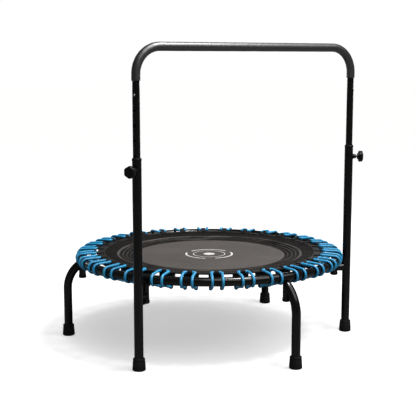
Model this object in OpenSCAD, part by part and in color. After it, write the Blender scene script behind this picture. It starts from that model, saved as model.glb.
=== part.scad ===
// Mini trampoline: a round steel frame on four arched legs and two handlebar posts, with a
// dished jumping mat hung in it on elastic cords, and a height-adjustable handlebar.
// Millimetres. +Z is up, the handlebar faces -Y, and the origin is on the floor under the
// centre of the frame.

/* [Frame] */
// Radius of the frame ring, to the middle of its tube
ring_r = 493; // [480:1:510]
// Height of the middle of the ring's tube above the floor
ring_z = 316; // [312:1:330]
// Outer diameter of the ring, leg and post tubes
tube_d = 32; // [30:0.5:32.5]
// Wall thickness of the steel tubes
tube_wall = 1.5; // [1.2:0.1:2]

/* [Legs] */
// Distance from the centre of the frame to the foot of an arched leg
leg_r = 551; // [546:1:560]
// Radius of the bend in an arched leg, to the middle of its tube
leg_bend_r = 120; // [110:1:125]
// Height at which an arched leg begins to bend
leg_bend_z = 187; // [180:1:187]
// Outer diameter of the sleeve that holds a leg under the ring
sleeve_d = 26.5; // [25:0.5:27]
// Height of the lower end of the sleeves
sleeve_z = 240; // [236:1:244]

/* [Handlebar] */
// Distance from the centre of the frame to a handlebar post
post_r = 541.5; // [538:0.5:546]
// Height of the upper end of the lower post tubes
post_top_z = 732; // [725:1:740]
// Outer diameter of the upper tubes and of the handlebar
bar_d = 25.4; // [25.4:0.1:25.6]
// Height of the middle of the handlebar
bar_z = 1110; // [1080:1:1110]
// Radius of the handlebar's bends, to the middle of its tube
bar_bend_r = 92; // [80:1:95]
// Outer diameter of the foam grip
grip_d = 31.4; // [29:0.2:33]
// Height of the locking knobs
lock_z = 696; // [690:1:698]
// Distance between the height-adjusting holes
hole_pitch = 50.8; // [50:0.1:50.8]
// Number of height-adjusting holes in each upper tube
hole_count = 5; // [4:1:5]

/* [Mat and cords] */
// Outer radius of the mat's hem
mat_r = 434; // [430:1:436]
// Radius of the grey centre panel
panel_r = 294; // [250:1:300]
// Height of the top of the mat at its middle
mat_z = 316; // [314:1:318]
// Height of the top of the mat beside its hem
mat_edge_z = 331; // [330:1:332]
// Diameter of the elastic cord
cord_d = 10; // [9:0.5:10]
// Distance between the two strands of one cord loop
strand_gap = 39; // [36:1:42]
// Cord loops between two neighbouring legs
loops_per_bay = 5; // [3:1:5]

/* [Hidden] */
$fn = 48;

// Room between parts that slide or lie against each other
gap = 0.3;
// Room between parts that are fixed round each other
snug = 0.1;
eps = 0.01;

// Stations around the ring, in degrees from +X
front_a = 270;
rear_a = 90;
rear_left_a = 150;
rear_right_a = 30;
post_left_a = 210;
post_right_a = 330;
STATIONS = [30, 90, 150, 210, 270, 330];
bay_a = 60;

tube_r = tube_d / 2;
tube_bore_r = tube_r - tube_wall;
sleeve_r = sleeve_d / 2;
sleeve_wall = 2;
sleeve_top_z = ring_z - tube_r - 1;
spigot_r = sleeve_r - sleeve_wall - snug;
spigot_wall = 2;
spigot_z = sleeve_z + 4;
spigot_top_z = ring_z - tube_r + 6;
insert_z = spigot_z + 1;
insert_h = 14;
bolt_r = 4;
bolt_h = 34;
cap_r = 14.75;
cap_h = 12;
cap_round = 4;
cap_chamfer = 1.2;
// An arched leg stops this far outside the middle of its sleeve
leg_stop = 4;
leg_bend_a = 59;

foot_h = 44;
foot_top_r = 20.5;
foot_base_r = 23.5;
foot_floor = 8;
foot_round = 5;
foot_lip_h = 2;
foot_lip = 1.5;

bracket_r = 14;
bracket_z = 258;
// How far the bracket and gusset run in under the tubes before they are trimmed to them
bracket_lap = 8;
gusset_lap = 1;
gusset_t = 4;
gusset_bottom_z = bracket_z + bracket_r - 3;
gusset_nose_z = bracket_z + bracket_r + 4;
gusset_top_z = 291;
gusset_land = 5;

bar_r = bar_d / 2;
bar_wall = 1.2;
bar_bore_r = bar_r - bar_wall;
upper_bottom_z = 566;
seam_z = 965;
plug_bottom_z = 915;
plug_lap = 4;
plug_wall = 1.4;
grip_end_z = 997;
bushing_skirt_z = 703;
bushing_flange_r = tube_r + 0.8;
bushing_flange_h = 8;
bushing_round = 3;
bushing_edge = 1;
glide_skirt = 22;
glide_chamfer = 2;
glide_neck_h = 16;
joint_z = lock_z + hole_count * hole_pitch;
joint_hole_r = 2.6;
joint_shank_r = 2.4;
joint_shank = 3.5;
joint_head_r = 4;
joint_head_h = 1.6;
joint_head_edge = 0.6;
joint_head_round = 1.4;

lock_hole_r = 4.4;
// How far a hole drilled through one wall runs on inside its tube
drill_past = 4;
nut_base_r = 10;
nut_tip_r = 7.5;
nut_lap = 4;
nut_end = tube_r + 12;
screw_r = 4;
screw_start = bar_r + gap;
screw_end = 49;
screw_point = 1.5;
screw_point_r = 3;
knob_start = 33;
knob_t = 21;
knob_r = 21.5;
knob_lobes = 6;
lobe_r = 11;
// The radius between the lobes
knob_valley_r = knob_r - 2;
knob_hub_r = 11;
knob_hub_h = 5;
knob_fit = 0.05;

bed_t = 2;
bed_r = mat_r - 6;
hem_t = 2;
hem_inner_r = 404;
rise_r = 362;
rise_z = 326;
panel_t = 1;
panel_edge = 1;
cord_r = cord_d / 2;
wrap_r = tube_r + cord_r + gap;
strand_z = ring_z + wrap_r;
loop_x = mat_r + 7.5;
loop_bend_r = 8;
wrap_end_a = -108;
wrap_steps = 8;
cord_sides = 8;
tab_w = 18;
tab_t = 2;
tab_inner_x = 408;
tab_wall = 2;
anchor_x = 430;
anchor_depth = 28;
anchor_w = 52;
anchor_low_z = 304;
anchor_nose = 5;
anchor_heel = 9;
anchor_heel_h = 11;
first_loop_a = bay_a / loops_per_bay / 2;

// Places its children at a station of the ring, with X pointing outwards
module at(angle, radius = 0, z = 0) {
    rotate([0, 0, angle]) translate([radius, 0, z]) children();
}

// A cylinder along X from x1 to x2
module rod_x(r, x1, x2) {
    translate([x1, 0, 0]) rotate([0, 90, 0]) cylinder(r = r, h = x2 - x1);
}

// A cylinder along Y from y1 to y2
module rod_y(r, y1, y2) {
    translate([0, y2, 0]) rotate([90, 0, 0]) cylinder(r = r, h = y2 - y1);
}

// An open tube standing between two heights
module pipe(r, bore_r, z1, z2) {
    translate([0, 0, z1]) difference() {
        cylinder(r = r, h = z2 - z1);
        translate([0, 0, -eps]) cylinder(r = bore_r, h = z2 - z1 + 2 * eps);
    }
}

// Frame

module frame_ring() {
    color("#141414") translate([0, 0, ring_z]) rotate_extrude($fn = 96) translate([ring_r, 0])
        difference() {
            circle(r = tube_r);
            circle(r = tube_bore_r);
        }
}

// Stubs welded under the ring, which the leg sleeves are pushed onto
module leg_spigots() {
    color("#1c1c1c") for (a = STATIONS) at(a, ring_r) difference() {
        pipe(spigot_r, spigot_r - spigot_wall, spigot_z, spigot_top_z);
        translate([-ring_r, 0, ring_z]) rotate_extrude($fn = 96) translate([ring_r, 0])
            circle(r = tube_r);
    }
}

// Threaded inserts inside the spigots
module spigot_nuts() {
    color("silver") for (a = STATIONS) at(a, ring_r)
        pipe(spigot_r - spigot_wall - snug, bolt_r + snug, insert_z, insert_z + insert_h);
}

// Hand screws with a wide cap that close the sleeves from below
module leg_lock_caps() {
    color("#101010") for (a = STATIONS) at(a, ring_r) {
        translate([0, 0, sleeve_z - cap_h]) rotate_extrude() polygon([
            [0, 0], [cap_r - cap_round, 0], [cap_r - cap_chamfer, cap_chamfer],
            [cap_r, cap_round], [cap_r, cap_h], [bolt_r, cap_h], [bolt_r, cap_h + bolt_h],
            [0, cap_h + bolt_h]]);
    }
}

module sleeve(angle) {
    color("#161616") at(angle, ring_r)
        pipe(sleeve_r, sleeve_r - sleeve_wall, sleeve_z, sleeve_top_z);
}

module sleeve_front() sleeve(front_a);
module sleeve_rear() sleeve(rear_a);
module sleeve_rear_left() sleeve(rear_left_a);
module sleeve_rear_right() sleeve(rear_right_a);
module sleeve_post_left() sleeve(post_left_a);
module sleeve_post_right() sleeve(post_right_a);

// The solid run of an arched leg: upright, then curving in and up to the ring
module leg_run(r, low_z) {
    translate([leg_r, 0, low_z]) cylinder(r = r, h = leg_bend_z - low_z);
    translate([leg_r - leg_bend_r, 0, leg_bend_z]) rotate([90, 0, 0])
        rotate_extrude(angle = leg_bend_a) translate([leg_bend_r, 0]) circle(r = r);
}

module arched_leg(angle) {
    color("#141414") at(angle) difference() {
        leg_run(tube_r, foot_floor);
        leg_run(tube_bore_r, foot_floor - 1);
        translate([ring_r, 0, 0]) cylinder(r = sleeve_r + snug, h = ring_z);
        translate([ring_r + leg_stop - 2 * tube_d, -tube_d, 0]) cube([2 * tube_d, 2 * tube_d, ring_z]);
    }
}

module leg_front() arched_leg(front_a);
module leg_rear() arched_leg(rear_a);
module leg_rear_left() arched_leg(rear_left_a);
module leg_rear_right() arched_leg(rear_right_a);

// A rubber shoe with a socket for the end of a tube
module foot(angle, radius) {
    color("#1a1a1a") at(angle, radius) rotate_extrude() polygon([
        [0, 0], [foot_base_r - foot_round, 0],
        for (s = [-60, -30, 0]) [foot_base_r - foot_round + foot_round * cos(s),
            foot_round + foot_round * sin(s)],
        [foot_top_r, foot_h - foot_lip_h], [foot_top_r - foot_lip, foot_h],
        [tube_r + snug, foot_h],
        [tube_r + snug, foot_floor - snug], [0, foot_floor - snug]]);
}

module foot_front() foot(front_a, leg_r);
module foot_rear() foot(rear_a, leg_r);
module foot_rear_left() foot(rear_left_a, leg_r);
module foot_rear_right() foot(rear_right_a, leg_r);
module foot_post_left() foot(post_left_a, post_r);
module foot_post_right() foot(post_right_a, post_r);

// Handlebar posts

module post(angle) {
    color("#141414") at(angle, post_r) difference() {
        pipe(tube_r, tube_bore_r, foot_floor, post_top_z);
        translate([0, 0, lock_z]) rod_x(lock_hole_r, tube_bore_r - drill_past, tube_r + 1);
    }
}

module post_left() post(post_left_a);
module post_right() post(post_right_a);

// The short crosswise tube that joins a post to its sleeve
module bracket(angle) {
    color("#161616") at(angle) difference() {
        translate([0, 0, bracket_z]) rod_x(bracket_r, ring_r + bracket_lap, post_r - bracket_lap);
        translate([0, 0, bracket_z]) rod_x(bracket_r - tube_wall, ring_r, post_r);
        translate([ring_r, 0, 0]) cylinder(r = sleeve_r + snug, h = ring_z);
        translate([post_r, 0, 0]) cylinder(r = tube_r + snug, h = ring_z);
    }
}

module bracket_left() bracket(post_left_a);
module bracket_right() bracket(post_right_a);

// The plate above the bracket, welded to the post and the sleeve
module gusset(angle) {
    color("#161616") at(angle) difference() {
        translate([0, gusset_t / 2, 0]) rotate([90, 0, 0]) linear_extrude(gusset_t) polygon([
            [ring_r + sleeve_r - gusset_lap, gusset_bottom_z],
            [post_r - tube_r + gusset_lap, gusset_bottom_z],
            [post_r - tube_r + gusset_lap, gusset_top_z],
            [post_r - tube_r - gusset_land, gusset_top_z],
            [ring_r + sleeve_r - gusset_lap, gusset_nose_z]]);
        translate([0, 0, bracket_z]) rod_x(bracket_r + snug, ring_r, post_r);
        translate([ring_r, 0, 0]) cylinder(r = sleeve_r + snug, h = ring_z);
        translate([post_r, 0, 0]) cylinder(r = tube_r + snug, h = ring_z);
    }
}

module gusset_left() gusset(post_left_a);
module gusset_right() gusset(post_right_a);

// The plastic ring that guides the upper tube in the top of the post
module post_bushing(angle) {
    color("#101010") at(angle, post_r) rotate_extrude() polygon([
        [bar_r + gap, bushing_skirt_z], [tube_bore_r - snug, bushing_skirt_z],
        [tube_bore_r - snug, post_top_z], [bushing_flange_r, post_top_z],
        [bushing_flange_r, post_top_z + bushing_flange_h - bushing_round],
        [bushing_flange_r - bushing_edge, post_top_z + bushing_flange_h - bushing_edge],
        [bushing_flange_r - bushing_round, post_top_z + bushing_flange_h],
        [bar_r + gap, post_top_z + bushing_flange_h]]);
}

module post_bushing_left() post_bushing(post_left_a);
module post_bushing_right() post_bushing(post_right_a);

// The nut welded to the post, which the locking screw turns in
module lock_nut(angle) {
    color("#101010") at(angle, post_r) difference() {
        translate([tube_r - nut_lap, 0, lock_z]) rotate([0, 90, 0])
            cylinder(r1 = nut_base_r, r2 = nut_tip_r, h = nut_end - tube_r + nut_lap);
        translate([0, 0, lock_z]) rod_x(screw_r + gap, 0, nut_end + 1);
        cylinder(r = tube_r + snug, h = post_top_z);
    }
}

module lock_nut_left() lock_nut(post_left_a);
module lock_nut_right() lock_nut(post_right_a);

// Handlebar

// A straight upper tube with its row of height-adjusting holes on the outer side
module upper_tube(angle) {
    color("#181818") at(angle, post_r) difference() {
        pipe(bar_r, bar_bore_r, upper_bottom_z, seam_z);
        for (i = [0 : hole_count - 1])
            translate([0, 0, lock_z + i * hole_pitch])
                rod_x(lock_hole_r, bar_bore_r - drill_past, bar_r + 1);
        translate([0, 0, joint_z]) rod_x(joint_hole_r, bar_bore_r - drill_past, bar_r + 1);
    }
}

module upper_tube_left() upper_tube(post_left_a);
module upper_tube_right() upper_tube(post_right_a);

// The plastic glide plugged into the lower end of an upper tube
module tube_glide(angle) {
    color("#202020") at(angle, post_r, upper_bottom_z) rotate_extrude() polygon([
        [0, -glide_skirt], [tube_bore_r - gap - glide_chamfer, -glide_skirt],
        [tube_bore_r - gap, glide_chamfer - glide_skirt], [tube_bore_r - gap, -snug],
        [bar_bore_r - snug, -snug], [bar_bore_r - snug, glide_neck_h], [0, glide_neck_h]]);
}

module tube_glide_left() tube_glide(post_left_a);
module tube_glide_right() tube_glide(post_right_a);

// Where the right-hand post stands
post_x = post_r * cos(post_right_a);
post_y = post_r * sin(post_right_a);

// The run of the handlebar: up from low_z on each side, round two bends and across
module bar_run(r, low_z) {
    for (side = [-1, 1]) {
        translate([side * post_x, post_y, low_z]) cylinder(r = r, h = bar_z - bar_bend_r - low_z);
        translate([side * (post_x - bar_bend_r), post_y, bar_z - bar_bend_r])
            rotate([90, 0, 0]) rotate([0, side < 0 ? 180 : 0, 0]) rotate_extrude(angle = 90)
                translate([bar_bend_r, 0]) circle(r = r);
    }
    translate([0, post_y, bar_z]) rod_x(r, bar_bend_r - post_x, post_x - bar_bend_r);
}

// The bent top bar, with a reduced spigot at each end inside the upper tube
module handlebar_top() {
    color("#181818") difference() {
        union() {
            bar_run(bar_r, seam_z + snug);
            for (side = [-1, 1]) translate([side * post_x, post_y, plug_bottom_z])
                cylinder(r = bar_bore_r - snug, h = seam_z + plug_lap - plug_bottom_z);
        }
        bar_run(bar_bore_r - snug - plug_wall, plug_bottom_z - 1);
        for (a = [post_left_a, post_right_a]) at(a, post_r, joint_z)
            rod_x(joint_hole_r, bar_bore_r - drill_past, bar_r + 1);
    }
}

module foam_grip() {
    color("#26262a") difference() {
        bar_run(grip_d / 2, grip_end_z);
        bar_run(bar_r + snug, grip_end_z - 1);
    }
}

// The bright screws that fix the top bar in the upper tubes
module joint_screws() {
    color("silver") for (a = [post_left_a, post_right_a]) at(a, post_r, joint_z)
        rotate([0, 90, 0]) rotate_extrude() polygon([
            [0, bar_bore_r - joint_shank], [joint_shank_r, bar_bore_r - joint_shank],
            [joint_shank_r, bar_r + snug], [joint_head_r, bar_r + snug],
            [joint_head_r, bar_r + snug + joint_head_edge],
            [joint_head_r - joint_head_round, bar_r + joint_head_h], [0, bar_r + joint_head_h]]);
}

// Height locks

module lock_screw(angle) {
    color("silver") at(angle, post_r, lock_z) rotate([0, 90, 0]) rotate_extrude() polygon([
        [0, screw_start], [screw_point_r, screw_start], [screw_r, screw_start + screw_point],
        [screw_r, screw_end], [0, screw_end]]);
}

module lock_screw_left() lock_screw(post_left_a);
module lock_screw_right() lock_screw(post_right_a);

// A moulded knob with low rounded lobes and a hub towards the post
module lock_knob(angle) {
    color("#0e0e0e") at(angle, post_r, lock_z) rotate([0, 90, 0]) difference() {
        union() {
            translate([0, 0, knob_start]) cylinder(r = knob_hub_r, h = knob_t);
            translate([0, 0, knob_start + knob_hub_h]) linear_extrude(knob_t - knob_hub_h) union() {
                circle(r = knob_valley_r);
                for (i = [0 : knob_lobes - 1]) rotate(i * 360 / knob_lobes)
                    translate([knob_r - lobe_r, 0]) circle(r = lobe_r);
            }
        }
        translate([0, 0, knob_start - 1])
            cylinder(r = screw_r + knob_fit, h = screw_end + gap - knob_start + 1);
    }
}

module lock_knob_left() lock_knob(post_left_a);
module lock_knob_right() lock_knob(post_right_a);

// Mat

// The woven bed: flat in the middle, then rising to the hem
module mat_bed() {
    color("#26221f") rotate_extrude($fn = 96) polygon([
        [0, mat_z - bed_t], [panel_r, mat_z - bed_t], [rise_r, rise_z - bed_t],
        [hem_inner_r, mat_edge_z - bed_t], [bed_r, mat_edge_z - bed_t],
        [bed_r, mat_edge_z], [hem_inner_r, mat_edge_z], [rise_r, rise_z],
        [panel_r, mat_z], [0, mat_z]]);
}

module mat_panel() {
    color("#67615d") translate([0, 0, mat_z])
        cylinder(r = panel_r - panel_edge, h = panel_t, $fn = 96);
}

// The webbing folded round the edge of the bed
module mat_hem() {
    color("#161413") rotate_extrude($fn = 96) polygon([
        [hem_inner_r, mat_edge_z], [bed_r, mat_edge_z], [bed_r, mat_edge_z - bed_t],
        [hem_inner_r, mat_edge_z - bed_t], [hem_inner_r, mat_edge_z - bed_t - hem_t],
        [mat_r, mat_edge_z - bed_t - hem_t], [mat_r, mat_edge_z + hem_t],
        [hem_inner_r, mat_edge_z + hem_t]]);
}

// Places its children at every cord loop of the ring, with X pointing outwards
module each_loop() {
    for (a = STATIONS, i = [0 : loops_per_bay - 1])
        rotate([0, 0, a + first_loop_a * (2 * i + 1)]) children();
}

// Webbing loops sewn to the hem, each holding the bight of one cord
module cord_tabs() {
    color("#141414") each_loop() difference() {
        union() {
            translate([loop_x, 0, strand_z]) rod_y(cord_r + gap + tab_wall, -tab_w / 2, tab_w / 2);
            translate([tab_inner_x, -tab_w / 2, mat_edge_z + hem_t])
                cube([loop_x - tab_inner_x, tab_w, tab_t]);
        }
        translate([loop_x, 0, strand_z]) rod_y(cord_r + gap, -tab_w, tab_w);
    }
}

// Moulded anchors under the hem, each gripping the two ends of one cord
module cord_anchors() {
    color("#0c0c0c") each_loop() translate([0, anchor_w / 2, 0]) rotate([90, 0, 0])
        linear_extrude(anchor_w) polygon([
            [anchor_x - anchor_depth, mat_edge_z - bed_t - hem_t],
            [anchor_x, mat_edge_z - bed_t - hem_t],
            [anchor_x, anchor_low_z + anchor_nose], [anchor_x - anchor_nose, anchor_low_z],
            [anchor_x - anchor_depth + anchor_heel, anchor_low_z],
            [anchor_x - anchor_depth, anchor_low_z + anchor_heel_h]]);
}

// Cords

// The route of one strand, from its end at the anchor to where its bend into the bight ends.
// The points round the ring stand out a little, so that the flats between them clear it.
wrap_step_a = (90 - wrap_end_a) / wrap_steps;
wrap_point_r = wrap_r / cos(wrap_step_a / 2);
leave_x = ring_r + wrap_point_r * cos(wrap_end_a);
leave_z = ring_z + wrap_point_r * sin(wrap_end_a);
// The cord's end is square to its strand, so its edge stays clear of the anchor's face
return_x = anchor_x + gap - cord_r * cos(wrap_end_a);
return_z = leave_z + (leave_x - return_x) / tan(wrap_end_a);
function strand_route(y) = [
    [return_x, y, return_z],
    for (k = [0 : wrap_steps]) let (a = wrap_end_a + k * wrap_step_a)
        [ring_r + wrap_point_r * cos(a), y, ring_z + wrap_point_r * sin(a)],
    for (a = [0 : 30 : 90])
        [loop_x + loop_bend_r * (1 - sin(a)), y - sign(y) * loop_bend_r * (1 - cos(a)), strand_z]];
function reversed(list) = [for (i = [len(list) - 1 : -1 : 0]) list[i]];
cord_route = concat(strand_route(strand_gap / 2), reversed(strand_route(-strand_gap / 2)));

function unit(v) = v / norm(v);
function heading(route, i) =
    unit(route[min(i + 1, len(route) - 1)] - route[max(i - 1, 0)]);
// A direction across the route at each of its points, turned as little as it can be
function across(route, last, i = 0) = i == len(route) ? [] :
    let (t = heading(route, i), n = unit(last - (last * t) * t))
        concat([n], across(route, n, i + 1));

// A round cord along a route, as a ring of points at each of the route's points
module sweep_cord(route, r, first_across) {
    side = across(route, first_across);
    points = [for (i = [0 : len(route) - 1], k = [0 : cord_sides - 1])
        let (a = k * 360 / cord_sides, n = side[i], b = cross(heading(route, i), n))
            route[i] + r * (cos(a) * n + sin(a) * b)];
    last_ring = (len(route) - 1) * cord_sides;
    walls = [for (i = [0 : len(route) - 2], k = [0 : cord_sides - 1], half = [0, 1])
        let (m = (k + 1) % cord_sides, p = i * cord_sides, q = p + cord_sides)
            half == 0 ? [p + k, q + k, q + m] : [p + k, q + m, p + m]];
    ends = [[for (k = [0 : cord_sides - 1]) k],
        [for (k = [cord_sides - 1 : -1 : 0]) last_ring + k]];
    polyhedron(points, concat(walls, ends));
}

// One cord: a bight through its tab, and two strands over, round and under the ring
module cord_loop() {
    sweep_cord(cord_route, cord_r, [0, 1, 0]);
}

module cords_bay(n) {
    color("#2d96d2") for (i = [0 : loops_per_bay - 1])
        rotate([0, 0, STATIONS[n - 1] + first_loop_a * (2 * i + 1)]) cord_loop();
}

module cords_bay_1() cords_bay(1);
module cords_bay_2() cords_bay(2);
module cords_bay_3() cords_bay(3);
module cords_bay_4() cords_bay(4);
module cords_bay_5() cords_bay(5);
module cords_bay_6() cords_bay(6);

frame_ring();
leg_spigots();
spigot_nuts();
leg_lock_caps();
leg_front();
leg_rear();
leg_rear_left();
leg_rear_right();
sleeve_front();
sleeve_rear();
sleeve_rear_left();
sleeve_rear_right();
sleeve_post_left();
sleeve_post_right();
post_left();
post_right();
bracket_left();
bracket_right();
gusset_left();
gusset_right();
post_bushing_left();
post_bushing_right();
lock_nut_left();
lock_nut_right();
foot_front();
foot_rear();
foot_rear_left();
foot_rear_right();
foot_post_left();
foot_post_right();
upper_tube_left();
upper_tube_right();
tube_glide_left();
tube_glide_right();
handlebar_top();
foam_grip();
joint_screws();
lock_screw_left();
lock_screw_right();
lock_knob_left();
lock_knob_right();
mat_bed();
mat_panel();
mat_hem();
cord_tabs();
cord_anchors();
cords_bay_1();
cords_bay_2();
cords_bay_3();
cords_bay_4();
cords_bay_5();
cords_bay_6();
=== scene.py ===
import math
import random

import bmesh
import bpy
import numpy as np
from mathutils import Matrix, Vector


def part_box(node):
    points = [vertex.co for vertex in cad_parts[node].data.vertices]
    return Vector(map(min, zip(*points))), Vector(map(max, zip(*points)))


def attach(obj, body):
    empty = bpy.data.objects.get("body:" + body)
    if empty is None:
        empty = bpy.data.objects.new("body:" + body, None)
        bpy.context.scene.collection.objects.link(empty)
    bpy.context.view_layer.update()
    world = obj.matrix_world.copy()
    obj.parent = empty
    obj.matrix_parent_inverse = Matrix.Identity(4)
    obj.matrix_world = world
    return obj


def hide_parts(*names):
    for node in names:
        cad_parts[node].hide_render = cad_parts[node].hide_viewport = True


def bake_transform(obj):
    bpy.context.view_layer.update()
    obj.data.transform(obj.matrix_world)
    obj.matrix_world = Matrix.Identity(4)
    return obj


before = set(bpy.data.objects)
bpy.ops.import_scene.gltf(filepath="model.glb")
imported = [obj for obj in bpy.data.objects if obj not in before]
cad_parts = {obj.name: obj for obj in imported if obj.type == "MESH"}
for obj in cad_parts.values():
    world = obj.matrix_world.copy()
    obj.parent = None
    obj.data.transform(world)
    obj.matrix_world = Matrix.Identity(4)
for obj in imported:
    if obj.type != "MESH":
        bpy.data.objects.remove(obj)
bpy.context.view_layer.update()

# Metres throughout. The object stands on the floor at the origin, and its handlebar faces -Y.
MM = 0.001

# ---------------------------------------------------------------- sizes taken from the frame


def middle(node):
    """The middle of a CAD node's box."""
    low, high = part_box(node)
    return (low + high) / 2


RING_LOW, RING_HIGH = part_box("frame_ring")
TUBE_R = (RING_HIGH.z - RING_LOW.z) / 2
RING_R = RING_HIGH.y - TUBE_R
RING_Z = (RING_HIGH.z + RING_LOW.z) / 2

HEM_LOW, HEM_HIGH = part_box("mat_hem")
MAT_R = HEM_HIGH.y
BED_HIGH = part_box("mat_bed")[1]
BED_R = BED_HIGH.y
PANEL_LOW, PANEL_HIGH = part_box("mat_panel")
PANEL_R = PANEL_HIGH.y
MAT_Z = PANEL_LOW.z
EDGE_Z = BED_HIGH.z

POST_X = middle("post_right").x
POST_Y = middle("post_right").y
POST_R = math.hypot(POST_X, POST_Y)
LOCK_Z = middle("lock_knob_left").z
GRIP_LOW, GRIP_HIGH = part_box("foam_grip")
GRIP_R = (GRIP_HIGH.y - GRIP_LOW.y) / 2
BAR_Z = GRIP_HIGH.z - GRIP_R

# Stations round the ring, in degrees from +X
STATIONS = {
    "rear_right": 30,
    "rear": 90,
    "rear_left": 150,
    "post_left": 210,
    "front": 270,
    "post_right": 330,
}
LEGS = ["front", "rear", "rear_left", "rear_right"]
POSTS = ["left", "right"]
BAYS = len(STATIONS)
BAY_STEP = 360 / BAYS
FIRST_BAY = STATIONS["rear_right"]

# Sizes that no box gives, as in the CAD model
UPPER_LOW, UPPER_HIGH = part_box("upper_tube_right")
BAR_R = (UPPER_HIGH.y - UPPER_LOW.y) / 2
BAR_BEND_R = 92 * MM
SLEEVE_R = 13.25 * MM
BRACKET_R = 14 * MM
CORD_R = 4.8 * MM
STRAND_HALF_GAP = 19.5 * MM
LOOPS_PER_BAY = 5
LOOPS = BAYS * LOOPS_PER_BAY
LOOP_STEP = 360 / LOOPS
FIRST_LOOP = math.radians(FIRST_BAY + LOOP_STEP / 2)
CORD_TOP_Z = max(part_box(f"cords_bay_{n + 1}")[1].z for n in range(BAYS))
CORD_FLAT = 4.1 * MM
WRAP_R = TUBE_R + CORD_FLAT + 0.1 * MM
WRAP_END = -108
LOOP_X = MAT_R + 7.5 * MM
BIGHT_BEND_R = 8 * MM
ANCHOR_X = MAT_R - 4 * MM
ANCHOR_DEPTH = 23 * MM
TAB_W = 18 * MM
TAB_T = 1.5 * MM
HEM_W = 30 * MM
HEM_INNER_R = MAT_R - HEM_W
RISE_R = 362 * MM
RISE_Z = MAT_Z + 10 * MM
BED_T = 2 * MM
STRAND_Z = CORD_TOP_Z - 5 * MM
LEG_BEND_R = 120 * MM
LEG_BEND_Z = 187 * MM

# Fine detail that the CAD model leaves out
WELD_R = 1.5 * MM
WEAVE_PITCH = 2.2 * MM
BRAID_PITCH = 5.2 * MM
BRAID_YARNS = 6
MAT_SIDES = 240
HEM_SIDES = 360

RANDOM = random.Random(7)

# ---------------------------------------------------------------- mesh helpers


class Solid:
    """Points, faces and texture coordinates gathered for one mesh."""

    def __init__(self):
        self.points = []
        self.faces = []
        self.uv = []

    def add(self, rings, place=None, looped=False, capped=True, lengths=None):
        """A skin over rings of points: n rings of m points each, capped or joined end to start."""
        rings = np.asarray(rings, float)
        count, sides, _ = rings.shape
        start = len(self.points)
        flat = rings.reshape(-1, 3)
        if place is not None:
            turn = np.array(place.to_3x3())
            flat = flat @ turn.T + np.array(place.translation)
        self.points += [tuple(p) for p in flat]
        if lengths is None:
            lengths = np.arange(count + 1) / count
        for i in range(count if looped else count - 1):
            a, b = start + i * sides, start + (i + 1) % count * sides
            for k in range(sides):
                m = (k + 1) % sides
                self.faces.append((a + k, a + m, b + m, b + k))
                left, right = k / sides, (k + 1) / sides
                low, high = lengths[i], lengths[i + 1]
                self.uv += [(left, low), (right, low), (right, high), (left, high)]
        if capped and not looped:
            for first in (start, start + (count - 1) * sides):
                self.faces.append(tuple(first + k for k in range(sides)))
                self.uv += [(k / sides, 0.0) for k in range(sides)]
        return self


def piece(name, solid, material, body, sharp=38):
    """One mesh object from a solid, which rides on a body."""
    mesh = bpy.data.meshes.new(name)
    mesh.from_pydata(solid.points, [], solid.faces)
    layer = mesh.uv_layers.new(name="Along")
    layer.data.foreach_set("uv", np.array(solid.uv, np.float32).ravel())
    work = bmesh.new()
    work.from_mesh(mesh)
    bmesh.ops.remove_doubles(work, verts=work.verts, dist=1e-7)
    bmesh.ops.recalc_face_normals(work, faces=work.faces)
    work.to_mesh(mesh)
    work.free()
    mesh.shade_smooth()
    mesh.set_sharp_from_angle(angle=math.radians(sharp))
    mesh.materials.append(material)
    made = bpy.data.objects.new(name, mesh)
    bpy.context.collection.objects.link(made)
    if body:
        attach(made, body)
    return made


def round_station(angle, radius=0.0, z=0.0):
    """A place on the ring's circle, with X pointing outwards."""
    return Matrix.Rotation(math.radians(angle), 4, "Z") @ Matrix.Translation((radius, 0, z))


def along_x(place):
    """The same place with its Z turned to point along its X."""
    return place @ Matrix.Rotation(math.radians(90), 4, "Y")


def circle(radius, sides):
    """Radii and angles of a ring of points: the radius may be a number or a function of the angle."""
    angle = np.arange(sides) * 2 * np.pi / sides
    r = radius(angle) if callable(radius) else np.full(sides, radius)
    return r * np.cos(angle), r * np.sin(angle)


def lathe(profile, sides=64):
    """Rings about Z for a profile of (radius, height), where a radius may vary with the angle."""
    rings = []
    for radius, height in profile:
        x, y = circle(radius, sides)
        rings.append(np.stack([x, y, np.full(sides, height)], 1))
    return np.array(rings)


def fillet(centre_r, centre_z, radius, start, end, steps=5):
    """Points of an arc in a lathe's profile, from one angle in degrees to another."""
    turn = np.radians(np.linspace(start, end, steps))
    return [(centre_r + radius * math.cos(a), centre_z + radius * math.sin(a)) for a in turn]


def arc(centre, first, second, radius, start, end, steps):
    """Points of an arc in the plane of two unit vectors, from one angle in degrees to another."""
    turn = np.radians(np.linspace(start, end, steps))[:, None]
    return np.asarray(centre) + radius * (
        np.cos(turn) * np.asarray(first) + np.sin(turn) * np.asarray(second)
    )


def travel(points):
    """The length along a line of points up to each of them."""
    return np.concatenate([[0], np.cumsum(np.linalg.norm(np.diff(points, axis=0), axis=1))])


def sweep(points, section, first_side, looped=False):
    """Rings of a section carried along a line of points. section(i, n) gives n's two offsets."""
    points = np.asarray(points, float)
    count = len(points)
    if looped:
        heading = np.roll(points, -1, 0) - np.roll(points, 1, 0)
    else:
        heading = np.gradient(points, axis=0)
    heading /= np.linalg.norm(heading, axis=1)[:, None]
    side = np.asarray(first_side, float)
    rings = []
    for i in range(count):
        side = side - (side @ heading[i]) * heading[i]
        side /= np.linalg.norm(side)
        other = np.cross(heading[i], side)
        a, b = section(i)
        rings.append(points[i] + np.outer(a, side) + np.outer(b, other))
    return np.array(rings)


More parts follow.
